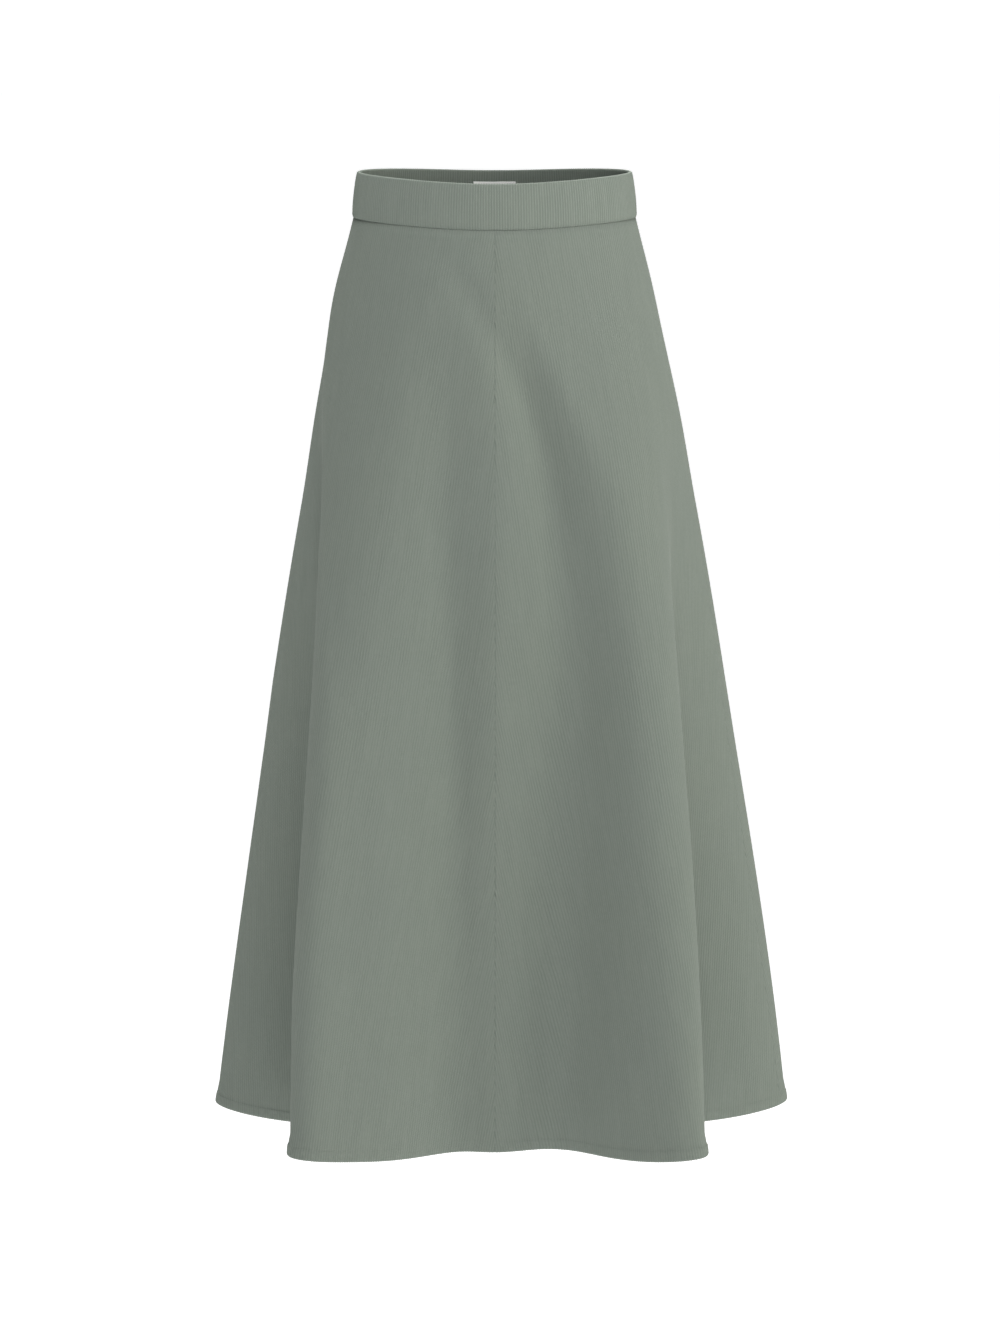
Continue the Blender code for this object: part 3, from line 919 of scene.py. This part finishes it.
FLOOR_HALF = 40.0  # half the floor's width, and how far off the backdrop is
FLOOR_LEVEL = -1.9
FLOOR_WHITE = "#E7E7E7"
FLOOR_GLOW = 0.76  # lit from below, as a white studio table is
BACKDROP_GLOW = 1.0
BACKDROP_AROUND = 72  # how many faces it has round its foot and up to its top
BACKDROP_UP = 18
WHITE = "#FFFFFF"
WARM_WHITE = "#FFFDF1"
ROOM_LIGHT = 0.31
LIGHT_AWAY = 3.6
LIGHT_SIZE = 1.2
LIT_POINT = (0, 0, -0.45)
# One row a light: azimuth, elevation, watts and colour.
LIGHTS = {
    "high": (12, 66, 66, WHITE),
    "low_right": (68, 12, 39.5, WARM_WHITE),
    "behind": (180, 35, 58, WHITE),
}


def studio_piece(name, points, faces, glow):
    """A matt white piece of the studio that glows, set out from the middle of the floor."""
    mesh = bpy.data.meshes.new(name)
    mesh.from_pydata((points + (0, 0, FLOOR_LEVEL)).tolist(), [], faces)
    weld(mesh)
    paint = bpy.data.materials.new("matt white " + name + " paint")
    paint.use_nodes = True
    shader = paint.node_tree.nodes["Principled BSDF"]
    shader.inputs["Base Color"].default_value = linear(FLOOR_WHITE)
    shader.inputs["Roughness"].default_value = 0.9
    shader.inputs["Emission Color"].default_value = linear(WHITE)
    shader.inputs["Emission Strength"].default_value = glow
    mesh.materials.append(paint)
    piece = bpy.data.objects.new(name, mesh)
    bpy.context.scene.collection.objects.link(piece)
    return piece


def half_ball(around, up):
    """A half ball, open below: rings as wide as the cosine of their rise, and as high as its sine."""
    turn = np.radians(np.linspace(0, 360, around + 1))
    rise = np.radians(np.linspace(0, 90, up + 1))[:, None]
    x = np.cos(rise) * np.cos(turn)
    y = np.cos(rise) * np.sin(turn)
    z = np.broadcast_to(np.sin(rise), x.shape)
    return np.stack([x, y, z], axis=-1).reshape(-1, 3)


floor_corners = np.array([(-1, -1, 0), (1, -1, 0), (1, 1, 0), (-1, 1, 0)]) * FLOOR_HALF
studio_piece("floor", floor_corners, [(0, 1, 2, 3)], FLOOR_GLOW)

# Only the camera sees the backdrop, so it lights nothing.
backdrop_points = FLOOR_HALF * half_ball(BACKDROP_AROUND, BACKDROP_UP)
backdrop_faces = grid_faces(BACKDROP_UP + 1, BACKDROP_AROUND + 1)
backdrop = studio_piece("backdrop", backdrop_points, backdrop_faces, BACKDROP_GLOW)
backdrop.visible_diffuse = False
backdrop.visible_glossy = False
backdrop.visible_transmission = False
backdrop.visible_shadow = False

room = bpy.data.worlds.new("pale room")
room.use_nodes = True
room.node_tree.nodes["Background"].inputs["Color"].default_value = linear(WHITE)
room.node_tree.nodes["Background"].inputs["Strength"].default_value = ROOM_LIGHT
bpy.context.scene.world = room

for name, (azimuth, elevation, power, colour) in LIGHTS.items():
    lamp = bpy.data.lights.new(name, "AREA")
    lamp.color = linear(colour)[:3]
    lamp.size = LIGHT_SIZE
    lamp.energy = power
    turn, rise = math.radians(azimuth), math.radians(elevation)
    towards = (math.cos(rise) * math.sin(turn), -math.cos(rise) * math.cos(turn), math.sin(rise))
    light = bpy.data.objects.new(name, lamp)
    light.location = np.array(LIT_POINT) + LIGHT_AWAY * np.array(towards)
    light.rotation_euler = (math.radians(90) - rise, 0, turn)
    bpy.context.scene.collection.objects.link(light)

CAMERA_AWAY = 4.0
CAMERA_ABOVE = 0.30
CAMERA_DOWN = 10.503  # degrees
CAMERA_TURN = -0.073  # degrees
FOCAL_PIXELS = 4294.0  # the lens's focal length, in pixels of the photograph
PICTURE_HEIGHT = 1334  # pixels
SENSOR_WIDTH = 36.0  # millimetres

camera_data = bpy.data.cameras.new("camera")
camera_data.sensor_width = SENSOR_WIDTH
camera_data.lens = FOCAL_PIXELS / PICTURE_HEIGHT * SENSOR_WIDTH
camera = bpy.data.objects.new("camera", camera_data)
camera.location = (0, -CAMERA_AWAY, CAMERA_ABOVE)
camera.rotation_euler = (math.radians(90 - CAMERA_DOWN), 0, math.radians(CAMERA_TURN))
bpy.context.scene.collection.objects.link(camera)
bpy.context.scene.camera = camera
bpy.context.scene.view_settings.view_transform = "Standard"
